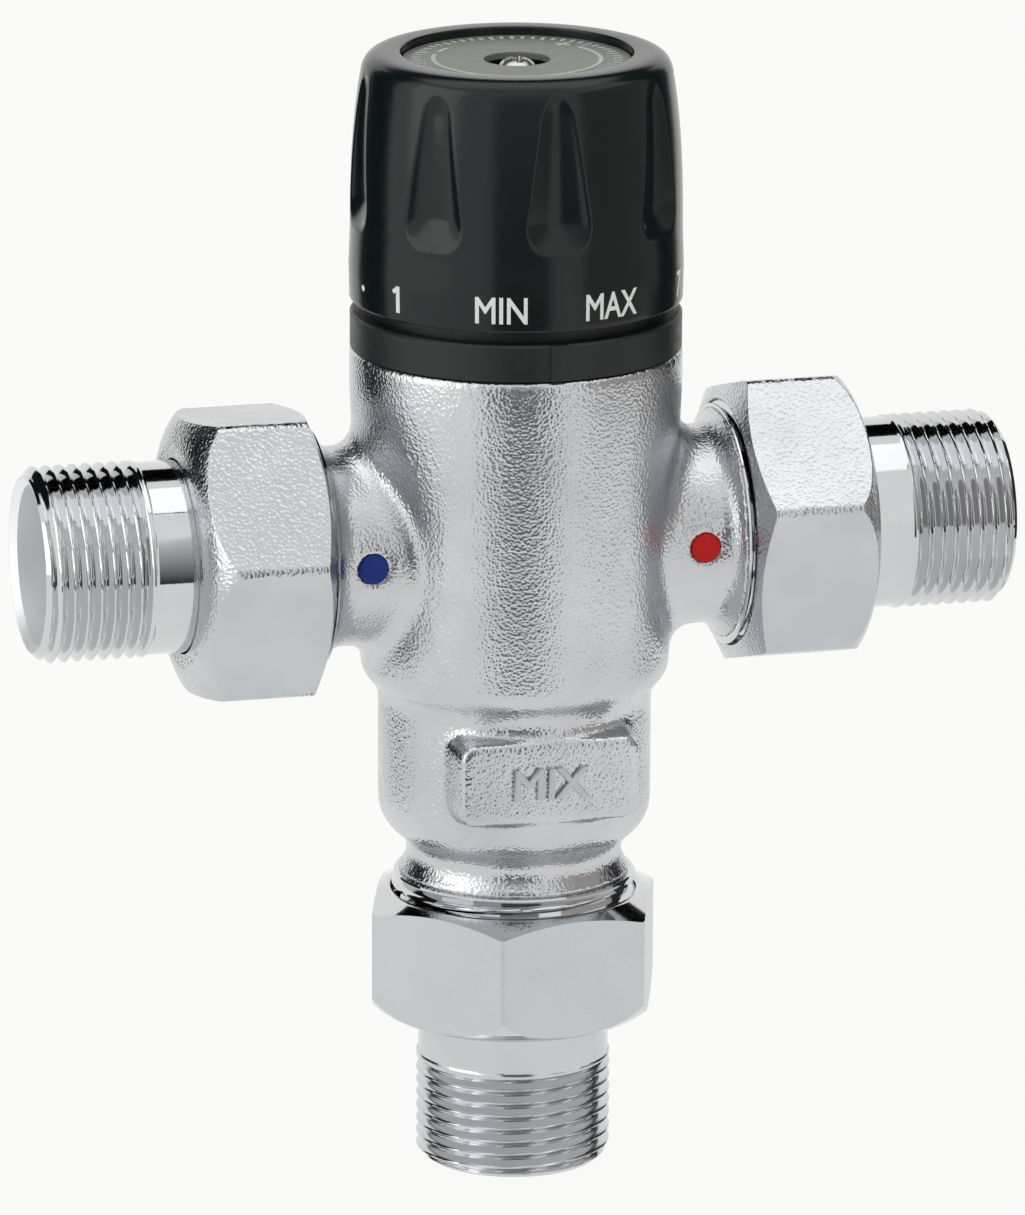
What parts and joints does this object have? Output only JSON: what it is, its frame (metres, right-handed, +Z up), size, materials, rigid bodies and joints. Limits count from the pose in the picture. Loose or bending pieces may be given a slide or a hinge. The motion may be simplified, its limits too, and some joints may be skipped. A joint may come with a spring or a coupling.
{
  "type": "thermostatic mixing valve",
  "caption": "Tempering valve with a fluted dial knob on top, union-ended cold and hot inlets at the sides and a union-ended mixed-water outlet below.",
  "frame": {"origin": "centre of the outlet tailpiece's end face, on the body's axis", "axes": "+Z up the body's axis to the knob, +X from the cold inlet to the hot inlet, -Y the front with the pointer and the pad"},
  "size_m": [0.1344, 0.045, 0.1539],
  "materials": {
    "plated_forging": "chrome plate over a blasted brass forging, pearly and fine-grained",
    "satin_chrome": "satin chrome plate on brass",
    "polished_chrome": "bright chrome plate on turned brass",
    "brass": "turned brass",
    "copper_element": "drawn copper capsule",
    "black_plastic": "moulded black plastic, satin gloss",
    "grey_disc": "printed matt grey disc",
    "white_plastic": "moulded white acetal",
    "seal_rubber": "black seal rubber",
    "gasket_fibre": "pressed fibre gasket",
    "steel": "stainless steel",
    "cold_mark": "blue plastic plug",
    "hot_mark": "red plastic plug"
  },
  "bodies": {
    "valve": {"valve_body": "plated_forging", "bonnet": "brass", "bonnet_oring": "seal_rubber", "indicator_ring": "black_plastic", "hot_seat": "brass", "return_spring": "steel", "outlet_tailpiece": "polished_chrome", "outlet_gasket": "gasket_fibre", "cold_tailpiece": "polished_chrome", "cold_gasket": "gasket_fibre", "cold_check_housing": "white_plastic", "cold_check_oring": "seal_rubber", "cold_check_spring": "steel", "cold_strainer": "steel", "cold_mark": "cold_mark", "hot_tailpiece": "polished_chrome", "hot_gasket": "gasket_fibre", "hot_check_housing": "white_plastic", "hot_check_oring": "seal_rubber", "hot_check_spring": "steel", "hot_strainer": "steel", "hot_mark": "hot_mark"},
    "knob_group": {"knob": "black_plastic", "knob_disc": "grey_disc", "knob_screw": "steel", "spindle": "brass", "spindle_oring_upper": "seal_rubber", "spindle_oring_lower": "seal_rubber", "spindle_circlip": "steel"},
    "adjuster": {"adjusting_nut": "brass", "plunger_circlip": "steel", "overtravel_plunger": "brass", "overtravel_spring": "steel"},
    "regulator": {"shutter": "white_plastic", "shutter_oring": "seal_rubber", "thermostatic_element": "copper_element", "element_pin": "steel"},
    "cold_poppet": {"cold_check_poppet": "white_plastic"},
    "hot_poppet": {"hot_check_poppet": "white_plastic"},
    "outlet_nut": {"outlet_union_nut": "satin_chrome"},
    "cold_nut": {"cold_union_nut": "satin_chrome"},
    "hot_nut": {"hot_union_nut": "satin_chrome"}
  },
  "joints": [
    {"name": "knob_turn", "type": "hinge", "parent": "valve", "child": "knob_group", "pos_m": [0, 0, 0.12045], "axis": [0, 0, 1], "range_deg": [0, 340]},
    {"name": "adjuster_travel", "type": "slide", "parent": "valve", "child": "adjuster", "axis": [0, 0, 1], "range_m": [0, 0.00189]},
    {"name": "shutter_travel", "type": "slide", "parent": "valve", "child": "regulator", "axis": [0, 0, 1], "range_m": [0, 0.00189], "deforming": ["return_spring"]},
    {"name": "cold_check_travel", "type": "slide", "parent": "valve", "child": "cold_poppet", "axis": [1, 0, 0], "range_m": [0, 0.003], "stiffness_N_per_m": 60, "springref_m": -0.003, "deforming": ["cold_check_spring"]},
    {"name": "hot_check_travel", "type": "slide", "parent": "valve", "child": "hot_poppet", "axis": [-1, 0, 0], "range_m": [0, 0.003], "stiffness_N_per_m": 60, "springref_m": -0.003, "deforming": ["hot_check_spring"]},
    {"name": "outlet_nut_turn", "type": "hinge", "parent": "valve", "child": "outlet_nut", "pos_m": [0, 0, 0.0292], "axis": [0, 0, 1], "continuous": true},
    {"name": "cold_nut_turn", "type": "hinge", "parent": "valve", "child": "cold_nut", "pos_m": [-0.038, 0, 0.0872], "axis": [1, 0, 0], "continuous": true},
    {"name": "hot_nut_turn", "type": "hinge", "parent": "valve", "child": "hot_nut", "pos_m": [0.038, 0, 0.0872], "axis": [1, 0, 0], "continuous": true}
  ],
  "couplings": [
    {"joint": "knob_turn", "follows": "adjuster_travel", "rad_per_m": 3141.6},
    {"joint": "shutter_travel", "follows": "adjuster_travel", "ratio": 1}
  ]
}
